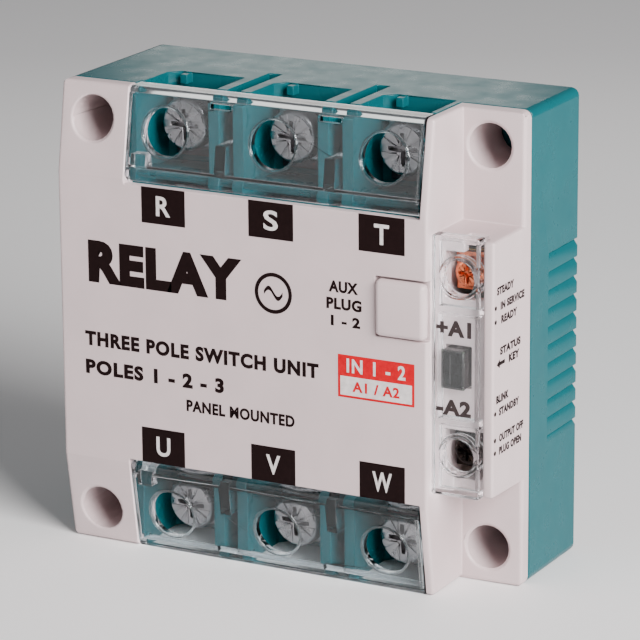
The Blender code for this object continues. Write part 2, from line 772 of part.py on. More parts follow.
def make_power_terminals():
    meshes = {
        "terminal_screw": terminal_screw_mesh(),
        "spring_washer": spring_washer_mesh(),
        "clamp_washer": clamp_washer_mesh(),
        "terminal_bar": terminal_bar_mesh(),
        "terminal_nut": terminal_nut_mesh(),
    }
    for letter, x, side in TERMINALS:
        for piece, mesh in meshes.items():
            copy_to(f"{piece}_{letter}", mesh, x, side * SCREW_Z, upside_down=side < 0)


# ------------------------------------------------------- control terminals


def control_screw_mesh():
    profile = screw_profile(-33.0, -30.8, -24.2, 2.8, 1.2)
    screw = turned("control_screw", profile, nickel(), sides=SMALL_ROUND)
    recess = bmesh.new()
    add_outline(recess, cross(1.8, 0.7), "Y", (-31.8, -34.0))
    cut(screw, "control screw recess", recess)
    return settle(screw)


def control_clamp_mesh():
    clamp = place("control_clamp", shape(add_box, ((-3.2, 3.2), (-29.5, -30.5), (-3.6, 3.6))), copper())
    cut(clamp, "control clamp hole", shape(add_rod, ((0.0, 0.0), 1.5, (-28.0, -32.0), SMALL_ROUND)))
    return settle(clamp)


def control_terminal_mesh():
    """A brass plate with a threaded boss, on a leg that is soldered to the board."""
    plate = place("control_terminal", shape(add_box, ((-3.4, 3.4), (-28.0, -29.2), (-3.8, 3.8))), brass())
    join(plate, "thread boss", shape(add_rod, ((0.0, 0.0), 2.3, (-25.5, -28.6), SMALL_ROUND)))
    join(plate, "board leg", shape(add_box, ((-1.5, 1.5), (BOARD_FRONT - GAP, -28.5), (-3.75, -2.7))))
    cut(plate, "thread", shape(add_rod, ((0.0, 0.0), 1.5, (-24.0, -31.0), SMALL_ROUND)))
    return settle(plate)


def make_control_terminals():
    """The positive terminal's screw and clamp are bare copper, the negative one's are
    blackened steel."""
    clamped = {"control_screw": control_screw_mesh(), "control_clamp": control_clamp_mesh()}
    terminal = control_terminal_mesh()
    for name, side, look in (("a1", 1, copper()), ("a2", -1, blackened_steel())):
        at = (CONTROL_X, side * CONTROL_Z, side < 0)
        for piece, mesh in clamped.items():
            copy_to(f"{piece}_{name}", in_material(mesh, look), *at)
        copy_to(f"control_terminal_{name}", terminal, *at)


# ------------------------------------------------------------------- inside


def make_control_board():
    wide, high = (-BOARD_HALF_X, BOARD_HALF_X), (-BOARD_HALF_Z, BOARD_HALF_Z)
    board = shape(add_box, (wide, (BOARD_BACK, BOARD_FRONT), high))
    board = place("control_board", board, board_laminate())
    holes = [((side * 39.0, end * 22.0), 1.6, (-16.0, -20.0), 12) for side in (-1, 1) for end in (-1, 1)]
    cut(board, "board holes", shape(add_rod, *holes))


def make_thyristor_modules():
    """A soldered plate for each phase, with two potted chips and two gate pins."""
    module = shape(add_box, ((-8.5, 8.5), (PLATE_FRONT - GAP, SUBSTRATE_FRONT), (-32.5, 32.5)))
    module = place("thyristor_module", module, black_epoxy())
    chips = [((-6.0, 6.0), (-4.0, -9.0), mirrored(4.0, 20.0, side)) for side in (1, -1)]
    join(module, "chips", shape(add_box, *chips))
    pins = [((-0.5, 0.5), (-4.2, BOARD_BACK + GAP), (z - 0.5, z + 0.5)) for z in (-1.5, 1.5)]
    join(module, "gate pins", shape(add_box, *pins))
    mesh = settle(module)
    for number, x in enumerate(BAY_X, 1):
        copy_to(f"thyristor_module_{number}", mesh, x)


def make_optocouplers():
    body = place("optocoupler", shape(add_box, ((-3.2, 3.2), (-19.6, -23.0), (-4.4, 4.4))), black_epoxy())
    legs = [
        (sorted((side * 2.9, side * 3.9)), (BOARD_FRONT - GAP, -21.2), (z - 0.5, z + 0.5))
        for side in (-1, 1)
        for z in (-2.5, 0.0, 2.5)
    ]
    join(body, "optocoupler legs", shape(add_box, *legs))
    mesh = settle(body)
    for number, x in enumerate(BAY_X, 1):
        copy_to(f"optocoupler_{number}", mesh, x, -12.0)


def make_small_parts():
    """Capacitor, indicator diode, signal header, heat switch and lamp lens."""
    front = BOARD_FRONT - GAP
    can = shape(add_rod, ((-34.0, 12.0), 4.0, (front, -31.0)))
    capacitor = place("input_capacitor", can, black_epoxy())
    soften(capacitor, 0.5, 1)
    lamp_x = sum(LAMP_X) / 2
    rim = shape(add_rod, ((lamp_x, 0.0), 1.9, (-24.0, -25.0), SMALL_ROUND))
    diode = place("status_led", rim, lamp_resin())
    join(diode, "diode body", shape(add_rod, ((lamp_x, 0.0), 1.5, (-24.5, -29.5), SMALL_ROUND)))
    wires = [((x - 0.25, x + 0.25), (front, -24.3), (-0.25, 0.25)) for x in (lamp_x - 1, lamp_x + 1)]
    join(diode, "diode wires", shape(add_box, *wires))
    header = place("signal_header", shape(add_box, (PLUG_X, (front, PLUG_BACK + GAP), PLUG_Z)), black_epoxy())
    pins = [((26.9, 27.7), (-26.0, -31.5), (z - 0.4, z + 0.4)) for z in (8.3, 11.6)]
    join(header, "header pins", shape(add_box, *pins))
    switch = ((33.5, 42.2), (PLATE_FRONT - GAP, -8.3), (-9.0, 9.0))
    switch = place("overheat_switch", shape(add_box, switch), black_epoxy())
    leads = [((37.5, 38.5), (-8.0, BOARD_BACK + GAP), (z - 0.5, z + 0.5)) for z in (-4.0, 4.0)]
    join(switch, "switch leads", shape(add_box, *leads))


def make_lamp_lens():
    x = (LAMP_X[0] + GAP, LAMP_X[1] - GAP)
    z = (LAMP_Z[0] + GAP, LAMP_Z[1] - GAP)
    lens = place("lamp_lens", shape(add_box, (x, (-31.5, LENS_FRONT), z)), smoked_plastic())
    soften(lens, 0.3, 1)
    inner_front = STRIP_FLOOR + COVER_WALL + GAP
    flange = ((34.4, LAMP_X[1] + 0.6), (inner_front + 1.0, inner_front), (LAMP_Z[0] - 0.6, LAMP_Z[1] + 0.6))
    join(lens, "lens flange", shape(add_box, flange))


def main():
    clear_scene()
    make_base_plate()
    make_housing_screws()
    make_base_housing()
    make_front_cover()
    make_terminal_cover("upper_terminal_cover", 1)
    make_terminal_cover("lower_terminal_cover", -1)
    make_control_cover()
    make_signal_cap()
    make_power_terminals()
    make_control_terminals()
    make_control_board()
    make_thyristor_modules()
    make_optocouplers()
    make_small_parts()
    make_lamp_lens()


main()
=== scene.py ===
"""Looks of the three-pole solid state relay: finished surfaces, printed marks and materials.

The CAD model is the frame. Lengths here are millimetres, turned into metres by MM.
+X is right, +Z is up and the front faces -Y.
"""

import json
import math

import bmesh
import bpy
from mathutils import Euler, Matrix, Vector


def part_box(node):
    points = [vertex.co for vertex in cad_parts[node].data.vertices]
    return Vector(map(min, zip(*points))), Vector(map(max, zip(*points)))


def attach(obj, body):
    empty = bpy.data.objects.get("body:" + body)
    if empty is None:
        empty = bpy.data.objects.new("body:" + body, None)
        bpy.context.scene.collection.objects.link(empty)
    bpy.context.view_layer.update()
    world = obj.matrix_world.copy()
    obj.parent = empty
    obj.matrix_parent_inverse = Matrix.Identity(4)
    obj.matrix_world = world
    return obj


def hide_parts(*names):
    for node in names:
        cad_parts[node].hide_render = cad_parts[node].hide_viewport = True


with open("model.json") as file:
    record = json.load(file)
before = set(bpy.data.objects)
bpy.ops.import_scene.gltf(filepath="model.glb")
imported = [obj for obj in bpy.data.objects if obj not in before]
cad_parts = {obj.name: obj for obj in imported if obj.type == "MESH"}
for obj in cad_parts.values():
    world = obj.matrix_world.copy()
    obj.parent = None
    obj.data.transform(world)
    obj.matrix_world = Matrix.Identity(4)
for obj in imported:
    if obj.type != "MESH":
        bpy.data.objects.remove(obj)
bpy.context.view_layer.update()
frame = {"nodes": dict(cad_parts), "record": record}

MM = 0.001
NODES = frame["nodes"]
BODIES = frame["record"]["behaviour"]["bodies"]
BODY_OF = {node: body for body, nodes in BODIES.items() for node in nodes}
SLOT_OF = {part["node"]: part["material_slot"] for part in frame["record"]["subparts"]}


def box_mm(node):
    """Lowest and highest corner of a CAD node, in millimetres."""
    low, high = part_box(node)
    return low / MM, high / MM


def centre_mm(node):
    low, high = box_mm(node)
    return (low + high) / 2


HOUSING_LOW, HOUSING_HIGH = box_mm("base_housing")
FACE = -38.0  # the flat part of the front
SIDE = HOUSING_HIGH.x
STRIP_FACE = box_mm("control_terminal_cover")[0].y
INK = 0.03  # thickness of printed marks
LENS_EDGES = (34.7, 39.3, -4.1, 3.2)  # left, right, lower and upper edge of the lamp lens
FRONT, RIGHT = "front", "right"


# ---------------------------------------------------------------- materials


class Surface:
    """A node material being built round one Principled shader."""

    def __init__(self, name, colour, roughness, metallic=0.0):
        self.made = bpy.data.materials.new(name)
        self.made.use_nodes = True
        self.nodes = self.made.node_tree.nodes
        self.links = self.made.node_tree.links
        self.shader = self.nodes["Principled BSDF"]
        self.shader.inputs["Base Color"].default_value = (*colour, 1.0)
        self.shader.inputs["Roughness"].default_value = roughness
        self.shader.inputs["Metallic"].default_value = metallic
        self.colour = colour
        self.roughness = roughness
        self.place = self.add("ShaderNodeTexCoord").outputs["Object"]

    def add(self, kind, **values):
        node = self.nodes.new(kind)
        for name, value in values.items():
            setattr(node, name, value)
        return node

    def join(self, output, node, name):
        self.links.new(output, node.inputs[name])

    def put(self, output, name):
        self.links.new(output, self.shader.inputs[name])

    def stretched(self, scale):
        """Object coordinates scaled on each axis."""
        mapping = self.add("ShaderNodeMapping")
        mapping.inputs["Scale"].default_value = scale
        self.join(self.place, mapping, "Vector")
        return mapping.outputs["Vector"]

    def noise(self, size, detail=3.0, vector=None, roughness=0.5):
        """Noise whose features are about size millimetres across."""
        noise = self.add("ShaderNodeTexNoise")
        noise.inputs["Scale"].default_value = 1.0 / (size * MM)
        noise.inputs["Detail"].default_value = detail
        noise.inputs["Roughness"].default_value = roughness
        self.join(vector or self.place, noise, "Vector")
        return noise.outputs["Fac"]

    def range(self, value, low, high, start=0.3, end=0.7):
        """A value carried from one range to another."""
        node = self.add("ShaderNodeMapRange")
        for name, number in (("From Min", start), ("From Max", end), ("To Min", low), ("To Max", high)):
            node.inputs[name].default_value = number
        self.join(value, node, "Value")
        return node.outputs["Result"]

    def mix(self, factor, first, second):
        """A colour between two, each given as numbers or as a socket."""
        node = self.add("ShaderNodeMix", data_type="RGBA")
        self.join(factor, node, "Factor")
        for name, colour in (("A", first), ("B", second)):
            socket = next(s for s in node.inputs if s.name == name and s.type == "RGBA")
            if isinstance(colour, tuple):
                socket.default_value = (*colour, 1.0)
            else:
                self.links.new(colour, socket)
        return next(s for s in node.outputs if s.type == "RGBA")

    def tinted(self, factor):
        """The surface's colour, darker or lighter by a factor."""
        return tuple(min(1.0, value * factor) for value in self.colour)

    def vary(self, size, amount):
        """Lets the colour drift a little over the surface."""
        where = self.range(self.noise(size), 0.0, 1.0)
        drift = self.mix(where, self.tinted(1 - amount), self.tinted(1 + amount))
        self.put(drift, "Base Color")
        return drift

    def rough(self, size, low, high, vector=None):
        self.put(self.range(self.noise(size, vector=vector), low, high), "Roughness")

    def bump(self, height, distance, strength=1.0):
        node = self.add("ShaderNodeBump")
        node.inputs["Distance"].default_value = distance * MM
        node.inputs["Strength"].default_value = strength
        self.join(height, node, "Height")
        self.put(node.outputs["Normal"], "Normal")


def moulded(name, colour, roughness, grain=0.35, coat=0.0, shine=0.5):
    """Moulded plastic: fine spark-eroded grain, drifting colour and worn, shinier patches."""
    surface = Surface(name, colour, roughness)
    surface.vary(9.0, 0.035)
    surface.rough(5.0, roughness - 0.06, roughness + 0.06)
    surface.bump(surface.noise(grain, 4.0), 0.012, 0.6)
    surface.shader.inputs["Specular IOR Level"].default_value = shine
    surface.shader.inputs["Coat Weight"].default_value = coat
    surface.shader.inputs["Coat Roughness"].default_value = 0.12
    return surface.made


def grey_plastic():
    return moulded("grey_plastic", (0.56, 0.455, 0.46), 0.42, coat=0.05)


def teal_plastic():
    return moulded("teal_plastic", (0.001, 0.082, 0.096), 0.30, grain=0.5, shine=0.2)


def glass_like(name, colour, roughness, ior, shine=0.5):
    """Clear plastic, faintly wavy as mouldings are. Lamps shine through it."""
    surface = Surface(name, colour, roughness)
    surface.shader.inputs["Transmission Weight"].default_value = 1.0
    surface.shader.inputs["IOR"].default_value = ior
    surface.shader.inputs["Specular IOR Level"].default_value = shine
    surface.rough(3.0, roughness * 0.6, roughness * 1.6)
    surface.bump(surface.noise(6.0, 1.0), 0.015, 0.25)
    path = surface.add("ShaderNodeLightPath")
    clear = surface.add("ShaderNodeBsdfTransparent")
    clear.inputs["Color"].default_value = (*[0.5 + value / 2 for value in colour], 1.0)
    mixer = surface.add("ShaderNodeMixShader")
    surface.links.new(path.outputs["Is Shadow Ray"], mixer.inputs[0])
    surface.links.new(surface.shader.outputs["BSDF"], mixer.inputs[1])
    surface.links.new(clear.outputs["BSDF"], mixer.inputs[2])
    surface.links.new(mixer.outputs["Shader"], surface.nodes["Material Output"].inputs["Surface"])
    return surface.made


def clear_plastic():
    return glass_like("clear_plastic", (0.86, 0.89, 0.9), 0.03, 1.45, 0.22)


def cover_plastic():
    """The clear plastic of the two terminal covers, thicker and greyer than the strip's."""
    return glass_like("cover_plastic", (0.66, 0.70, 0.72), 0.03, 1.4, 0.14)


def smoked_plastic():
    return glass_like("smoked_plastic", (0.07, 0.055, 0.055), 0.06, 1.5, 0.3)


def lamp_resin():
    return glass_like("lamp_resin", (0.82, 0.86, 0.8), 0.2, 1.5)


def metal(name, colour, roughness, lines=(1.0, 1.0, 1.0), grain=0.4, spots=None):
    """Plated or bare metal, with fine scratches along the axis that lines makes long."""
    surface = Surface(name, colour, roughness, 1.0)
    along = surface.stretched(lines)
    base = surface.mix(
        surface.range(surface.noise(2.5), 0.0, 1.0), surface.tinted(0.88), surface.tinted(1.1)
    )
    if spots:
        base = surface.mix(surface.range(surface.noise(1.2, 6.0), 0.0, 1.0, 0.55, 0.75), base, spots)
    surface.put(base, "Base Color")
    surface.rough(grain, roughness - 0.08, roughness + 0.1, along)
    surface.bump(surface.noise(grain, 4.0, along), 0.01, 0.5)
    return surface.made


def aluminium():
    return metal("aluminium", (0.62, 0.63, 0.65), 0.36, (1.0, 1.0, 30.0), 6.0)


def nickel_steel():
    return metal("nickel_steel", (0.38, 0.365, 0.375), 0.3, (1.0, 1.0, 1.0), 2.4)


def zinc_steel():
    return metal("zinc_steel", (0.50, 0.51, 0.52), 0.34, spots=(0.62, 0.6, 0.5))


def tinned_copper():
    # Painted shade: the plum-black colour and its darker spots are far below tin and copper, and stand
    # in for the shade inside the covered bays. The spots themselves are wear.
    plum_painted_shade, bare = (0.075, 0.058, 0.066), (0.2, 0.07, 0.07)
    return metal("tinned_copper", plum_painted_shade, 0.34, (8.0, 1.0, 1.0), 1.5, spots=bare)


def copper():
    return metal("copper", (0.72, 0.21, 0.1), 0.32, (3.0, 1.0, 1.0), 0.9, spots=(0.42, 0.1, 0.05))


# Painted shade: this near-black metal gives the A2 terminal parts the darkness of the shade they sit in,
# not a known black finish.
def blackened_steel():
    return metal("blackened_steel", (0.012, 0.009, 0.008), 0.42, spots=(0.03, 0.02, 0.015))


def brass():
    return metal("brass", (0.72, 0.5, 0.2), 0.34, (1.0, 1.0, 6.0), 1.0)


def board_laminate():
    """Green solder mask over copper tracks."""
    surface = Surface("board_laminate", (0.02, 0.13, 0.06), 0.35)
    tracks = surface.add("ShaderNodeTexBrick")
    tracks.inputs["Scale"].default_value = 160.0
    tracks.inputs["Mortar Size"].default_value = 0.03
    turn = surface.add("ShaderNodeMapping")
    turn.inputs["Rotation"].default_value = (math.radians(90), 0.0, 0.0)
    surface.join(surface.place, turn, "Vector")
    surface.join(turn.outputs["Vector"], tracks, "Vector")
    copper_lines = surface.mix(tracks.outputs["Fac"], (0.02, 0.13, 0.06), (0.06, 0.26, 0.1))
    surface.put(copper_lines, "Base Color")
    surface.bump(tracks.outputs["Fac"], 0.03, 0.5)
    return surface.made


def black_epoxy():
    return moulded("black_epoxy", (0.022, 0.022, 0.024), 0.48, grain=0.25)


def ink(name, colour):
    """Screen printing: nearly even colour, thinner in places."""
    surface = Surface(name, colour, 0.5)
    surface.vary(0.8, 0.12)
    surface.rough(0.6, 0.4, 0.6)
    surface.shader.inputs["Specular IOR Level"].default_value = 0.05
    surface.bump(surface.noise(0.2), 0.004, 0.5)
    return surface.made


MAKERS = (
    grey_plastic, teal_plastic, clear_plastic, cover_plastic, smoked_plastic, lamp_resin, aluminium,
    nickel_steel, zinc_steel, tinned_copper, copper, blackened_steel, brass, board_laminate, black_epoxy,
)
LOOKS = {maker.__name__: maker() for maker in MAKERS}
DARK_INK = ink("dark_ink", (0.009, 0.004, 0.004))
FADED_INK = ink("faded_ink", (0.04, 0.03, 0.03))
WHITE_INK = ink("white_ink", (0.62, 0.58, 0.57))
RED_INK = ink("red_ink", (0.50, 0.003, 0.012))


# ------------------------------------------------------------------ helpers


def new_object(name, mesh, look):
    obj = bpy.data.objects.new(name, mesh)
    bpy.context.scene.collection.objects.link(obj)
    if look:
        mesh.materials.clear()
        mesh.materials.append(look)
    return obj


def from_bmesh(name, bm, look):
    """An object from a bmesh in millimetres."""
    bmesh.ops.scale(bm, vec=(MM, MM, MM), verts=bm.verts)
    mesh = bpy.data.meshes.new(name)
    bm.to_mesh(mesh)
    bm.free()
    return new_object(name, mesh, look)


def add_box(bm, x, y, z):
    spans = [sorted(span) for span in (x, y, z)]
    size = [high - low for low, high in spans]
    middle = [(low + high) / 2 for low, high in spans]
    where = Matrix.Translation(middle) @ Matrix.Diagonal((*size, 1.0))
    return bmesh.ops.create_cube(bm, size=1.0, matrix=where)["verts"]


def mark_edges(bm, crease=13.0, smooth=41.0):
    """Smooths round stretches. Shallow creases between flat faces and real corners stay."""
    for face in bm.faces:
        face.smooth = True
    for edge in bm.edges:
        turn = math.degrees(edge.calc_face_angle(0.0))
        edge.smooth = turn < 2.0 or crease < turn < smooth


def round_off(obj, width, segments=2):
    """Rounds sharp edges and keeps flat faces flat."""
    bevel = obj.modifiers.new("rounded edges", "BEVEL")
    bevel.width = width * MM
    bevel.segments = segments
    bevel.limit_method = "ANGLE"
    bevel.angle_limit = math.radians(41)
    bevel.use_clamp_overlap = False
    bevel.miter_outer = "MITER_ARC"
    weigh = obj.modifiers.new("even shading", "WEIGHTED_NORMAL")
    weigh.keep_sharp = True
    weigh.weight = 90


def refined(node, suffix, width, segments=2, look=None):
    """Stands for a CAD node: the same solid with its edges rounded."""
    bm = bmesh.new()
    bm.from_mesh(NODES[node].data)
    bmesh.ops.remove_doubles(bm, verts=bm.verts, dist=0.002 * MM)
    mark_edges(bm)
    mesh = bpy.data.meshes.new(node)
    bm.to_mesh(mesh)
    bm.free()
    obj = new_object(f"{node}_{suffix}", mesh, LOOKS[look or SLOT_OF[node]])
    round_off(obj, width, segments)
    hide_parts(node)
    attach(obj, BODY_OF[node])
    return obj


def settled(obj):
    """The mesh of an object with its modifiers applied. The object itself is removed."""
    graph = bpy.context.evaluated_depsgraph_get()
    mesh = bpy.data.meshes.new_from_object(obj.evaluated_get(graph))
    mesh.transform(obj.matrix_world)
    bpy.data.objects.remove(obj)
    return mesh


def with_slot(obj, body):
    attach(obj, body)
    return obj


# ------------------------------------------------------------ printed marks


def text_mesh(words, bold, spacing):
    curve = bpy.data.curves.new("words", "FONT")
    curve.body = words
    curve.offset = bold
    curve.space_character = spacing
    curve.extrude = 0.5
    curve.resolution_u = 4
    holder = bpy.data.objects.new("words", curve)
    bpy.context.scene.collection.objects.link(holder)
    bpy.context.view_layer.update()
    mesh = settled(holder)
    bpy.data.curves.remove(curve)
    return mesh


def set_words(bm, words, centre, size, side=FRONT, depth=FACE, bold=0.02, spacing=1.1):
    """Words fitted to a size and laid on the front or the right of the object.

    centre is (X, Z) on the front and (Y, Z) on the right, and depth is the face they lie on."""
    mesh = text_mesh(words, bold, spacing)
    points = [v.co for v in mesh.vertices]
    low = Vector(min(p[i] for p in points) for i in range(3))
    high = Vector(max(p[i] for p in points) for i in range(3))
    span = high - low
    fit = Matrix.Diagonal((size[0] / span.x, size[1] / span.y, INK / span.z, 1.0))
    mesh.transform(fit @ Matrix.Translation(-(low + high) / 2))
    lay(bm, mesh, centre, side, depth, INK / 2)


def lay(bm, mesh, centre, side, depth, lift):
    """Adds a flat mesh, drawn in X and Y, to a face of the object."""
    if side == FRONT:
        place = (centre[0], depth - lift, centre[1])
        turn = Euler((math.radians(90), 0, 0))
    else:
        place = (depth + lift, centre[0], centre[1])
        turn = Euler((math.radians(90), 0, math.radians(90)))
    mesh.transform(Matrix.Translation(place) @ turn.to_matrix().to_4x4())
    bm.from_mesh(mesh)
    bpy.data.meshes.remove(mesh)


def add_plate(bm, centre, size, depth):
    """A printed rectangle on the front."""
    x, z = centre
    half_x, half_z = size[0] / 2, size[1] / 2
    add_box(bm, (x - half_x, x + half_x), (depth, depth - INK), (z - half_z, z + half_z))


TERMINAL_X = {letter: centre_mm(f"terminal_screw_{letter}").x for letter in "rstuvw"}
LABEL_SIZE = (9.3, 6.9)
LABEL_SHIFT = {"u": -0.7}  # the others sit a little to the right of their screw
LABEL_Z = 23.4  # the plates end where an open cover's inner edge passes


def print_terminal_letters():
    plates = bmesh.new()
    letters = bmesh.new()
    for letter, x in TERMINAL_X.items():
        at = (x + LABEL_SHIFT.get(letter, 0.2), LABEL_Z if letter in "rst" else -LABEL_Z)
        add_plate(plates, at, LABEL_SIZE, FACE)
        width = 4.0 if letter == "w" else 3.0
        set_words(letters, letter.upper(), at, (width, 3.8), depth=FACE - INK, bold=0.02)
    with_slot(from_bmesh("terminal_label_plates", plates, DARK_INK), "root")
    with_slot(from_bmesh("terminal_letters", letters, WHITE_INK), "root")


def print_front_words():
    words = bmesh.new()
    set_words(words, "RELAY", (-22.0, 11.2), (33.0, 8.2), bold=0.06)
    set_words(words, "AUX", (15.6, 12.6), (6.0, 2.2), bold=0.045)
    set_words(words, "PLUG", (15.7, 9.4), (7.2, 2.2), bold=0.045)
    set_words(words, "1 - 2", (16.0, 6.2), (6.0, 2.0), bold=0.045)
    set_words(words, "THREE POLE SWITCH UNIT", (-14.6, -4.0), (50.0, 2.9), bold=0.05, spacing=1.15)
    set_words(words, "POLES 1 - 2 - 3", (-24.6, -9.6), (30.0, 2.9), bold=0.05, spacing=1.15)
    set_words(words, "PANEL MOUNTED", (-6.2, -14.4), (23.0, 2.3), bold=0.04, spacing=1.1)
    add_wave_mark(words, (1.1, 9.7), 3.9)
    with_slot(from_bmesh("front_printing", words, DARK_INK), "root")


def add_wave_mark(bm, centre, radius):
    """A plain ring with an alternating-current wave in it."""
    ring, wave = 0.75, 0.8
    steps = 40
    outer = [(radius * math.cos(a), radius * math.sin(a)) for a in turn_angles(steps)]
    inner = [((radius - ring) * x / radius, (radius - ring) * y / radius) for x, y in outer]
    add_band(bm, outer + outer[:1], inner + inner[:1], centre)
    span = radius * 0.5
    line = [(-span + 2 * span * s / 20, 0.95 * math.sin(math.tau * s / 20)) for s in range(21)]
    add_band(bm, [(x, y + wave / 2) for x, y in line], [(x, y - wave / 2) for x, y in line], centre)


def add_band(bm, first, second, centre):
    """A printed strip between two lines of points on the front."""
    x, z = centre
    for (a, b), (c, d) in zip(zip(first, first[1:]), zip(second, second[1:])):
        front = [bm.verts.new((x + p[0], FACE - INK, z + p[1])) for p in (a, c, d, b)]
        bm.faces.new(front)


def print_input_label():
    """A red label over a pale panel, both naming the control terminals."""
    x, z = 22.2, -4.1
    red = bmesh.new()
    add_plate(red, (x, z), (15.6, 8.1), FACE)
    pale = bmesh.new()
    add_plate(pale, (x, z - 1.8), (14.6, 3.6), FACE - INK)
    set_words(pale, "IN 1 - 2", (x, z + 2.1), (12.0, 2.7), depth=FACE - INK, bold=0.03, spacing=1.2)
    set_words(red, "A1 / A2", (x, z - 1.8), (9.6, 2.0), depth=FACE - 2 * INK, bold=0.03)
    with_slot(from_bmesh("input_label", red, RED_INK), "root")
    with_slot(from_bmesh("input_label_print", pale, WHITE_INK), "root")


def print_control_marks():
    marks = bmesh.new()
    set_words(marks, "+A1", (37.5, 7.5), (7.0, 3.0), depth=STRIP_FACE, bold=0.05)
    set_words(marks, "-A2", (37.5, -7.35), (7.0, 3.0), depth=STRIP_FACE, bold=0.05)
    with_slot(from_bmesh("control_terminal_marks", marks, FADED_INK), "control_cover")


SIDE_LINES = (
    ("STEADY", -31.6, 14.7, 7.0),
    ("IN SERVICE", -28.6, 11.75, 10.0),
    ("READY", -30.0, 9.15, 6.6),
    ("STATUS", -29.4, 3.3, 8.6),
    ("KEY", -27.8, 1.05, 4.4),
    ("BLINK", -32.6, -5.5, 5.2),
    ("STANDBY", -29.8, -8.0, 8.4),
    ("OUTPUT OFF", -28.8, -13.0, 10.2),
    ("PLUG OPEN", -29.2, -15.4, 9.4),
)
SIDE_BULLETS = (11.75, 9.15, -8.0, -13.0, -15.4)
BULLET_RADIUS = 0.42
BULLET_Y = -35.6
ARROW_CENTRE = (-33.4, 1.05)
ARROW = (
    (1.7, -0.35), (1.7, 0.35), (-0.4, 0.35), (-0.4, 0.85), (-1.7, 0.0), (-0.4, -0.85), (-0.4, -0.35),
)


def turn_angles(steps):
    return [math.tau * step / steps for step in range(steps)]


def add_side_shape(bm, outline, centre):
    """A printed shape on the right-hand side, from its outline as (Y, Z) points."""
    y, z = centre
    bm.faces.new([bm.verts.new((SIDE + INK, y + a, z + b)) for a, b in outline])


def print_side_words():
    """The key to the lamp, on the right-hand side of the control block."""
    words = bmesh.new()
    for line, y, z, width in SIDE_LINES:
        set_words(words, line, (y, z), (width, 1.5), RIGHT, SIDE, bold=0.055)
    bullet = [(BULLET_RADIUS * math.cos(a), BULLET_RADIUS * math.sin(a)) for a in turn_angles(16)]
    for z in SIDE_BULLETS:
        add_side_shape(words, bullet, (BULLET_Y, z))
    add_side_shape(words, ARROW, ARROW_CENTRE)
    with_slot(from_bmesh("side_printing", words, DARK_INK), "root")


# ---------------------------------------------------------- detailed pieces


def add_slab(bm, outline, depth, thickness):
    """A flat outline of (X, Z) points, thickened forward from a depth."""
    back = [bm.verts.new((x, depth, z)) for x, z in outline]
    front = [bm.verts.new((x, depth - thickness, z)) for x, z in outline]
    bm.faces.new(back)
    bm.faces.new(front[::-1])
    for number in range(len(outline)):
        after = (number + 1) % len(outline)
        bm.faces.new((back[number], front[number], front[after], back[after]))


def land_outline(number, radius, inner, slot, groove):
    """One of a head's twelve lands: three to a quarter, with the cross slots left open."""
    quarter, third = divmod(number, 3)
    start = inner_start = math.radians(30 * third) + groove / radius
    end = inner_end = math.radians(30 * third + 30) - groove / radius
    if third == 0:
        start, inner_start = math.asin(slot / radius), math.asin(slot / inner)
    if third == 2:
        end, inner_end = math.pi / 2 - math.asin(slot / radius), math.pi / 2 - math.asin(slot / inner)
    points = [(inner, inner_start)]
    points += [(radius, start + (end - start) * step / 4) for step in range(5)]
    points.append((inner, inner_end))
    turn = quarter * math.pi / 2
    return [(r * math.cos(a + turn), r * math.sin(a + turn)) for r, a in points]


def add_head_lands(node, radius, slot, groove):
    """The stamped face of a screw's head, in front of the CAD head and turning with it."""
    low, high = box_mm(node)
    x, z = (low.x + high.x) / 2, (low.z + high.z) / 2
    lands = bmesh.new()
    for number in range(12):
        outline = land_outline(number, radius, 0.32 * radius, slot, groove)
        add_slab(lands, [(x + a, z + b) for a, b in outline], low.y + 0.06, 0.32)
    bmesh.ops.recalc_face_normals(lands, faces=lands.faces)
    made = from_bmesh(f"{node}_lands", lands, LOOKS[SLOT_OF[node]])
    round_off(made, 0.05, 2)
    with_slot(made, BODY_OF[node])


def add_collar(bm, centre, major, minor, tilt, sides=56, around=10):
    """A rounded ring that stands on the sloped front about an access hole."""
    lean = Matrix.Translation(centre) @ Matrix.Rotation(tilt, 4, "X")
    rings = []
    for a in turn_angles(sides):
        reach = [(major + minor * math.cos(b), -minor * math.sin(b)) for b in turn_angles(around)]
        points = [Vector((r * math.cos(a), y, r * math.sin(a))) for r, y in reach]
        rings.append([bm.verts.new(lean @ point) for point in points])
    for one, two in zip(rings, rings[1:] + rings[:1]):
        for number in range(around):
            after = (number + 1) % around
            bm.faces.new((one[number], one[after], two[after], two[number]))


TERMINAL_Z = 37.1  # height of the terminal screws above and below the middle
COLLAR_RADIUS, COLLAR_THICKNESS = 4.85, 0.24
COVER_ENDS = ((-30.15, -29.45), (30.0, 30.6))  # across the raised edges of a clear cover
SLOPE_START = 27.7
SLOPE = (38.0 - 35.2) / (45.0 - SLOPE_START)


def slope_depth(z):
    return FACE + max(0.0, abs(z) - SLOPE_START) * SLOPE


def add_cover_details(node, side):
    """Collars about the access holes and a raised edge at each end of a clear cover."""
    trim = bmesh.new()
    z = side * TERMINAL_Z
    tilt = -side * math.atan(SLOPE)
    for letter in "rst":
        centre = (TERMINAL_X[letter], slope_depth(z), z)
        add_collar(trim, centre, COLLAR_RADIUS, COLLAR_THICKNESS, tilt)
    for x in COVER_ENDS:
        outline = [(29.6, 0.0), (29.6, 0.28), (43.9, 0.28), (43.9, 0.0)]
        points = [(slope_depth(h) - rise, side * h) for h, rise in outline]
        left = [trim.verts.new((x[0], y, height)) for y, height in points]
        right = [trim.verts.new((x[1], y, height)) for y, height in points]
        trim.faces.new(left)
        trim.faces.new(right[::-1])
        for number in range(4):
            after = (number + 1) % 4
            trim.faces.new((left[number], right[number], right[after], left[after]))
    bmesh.ops.recalc_face_normals(trim, faces=trim.faces)
    for face in trim.faces:
        face.smooth = True
    made = from_bmesh(f"{node}_trim", trim, LOOKS["clear_plastic"])
    round_off(made, 0.08, 2)
    with_slot(made, BODY_OF[node])


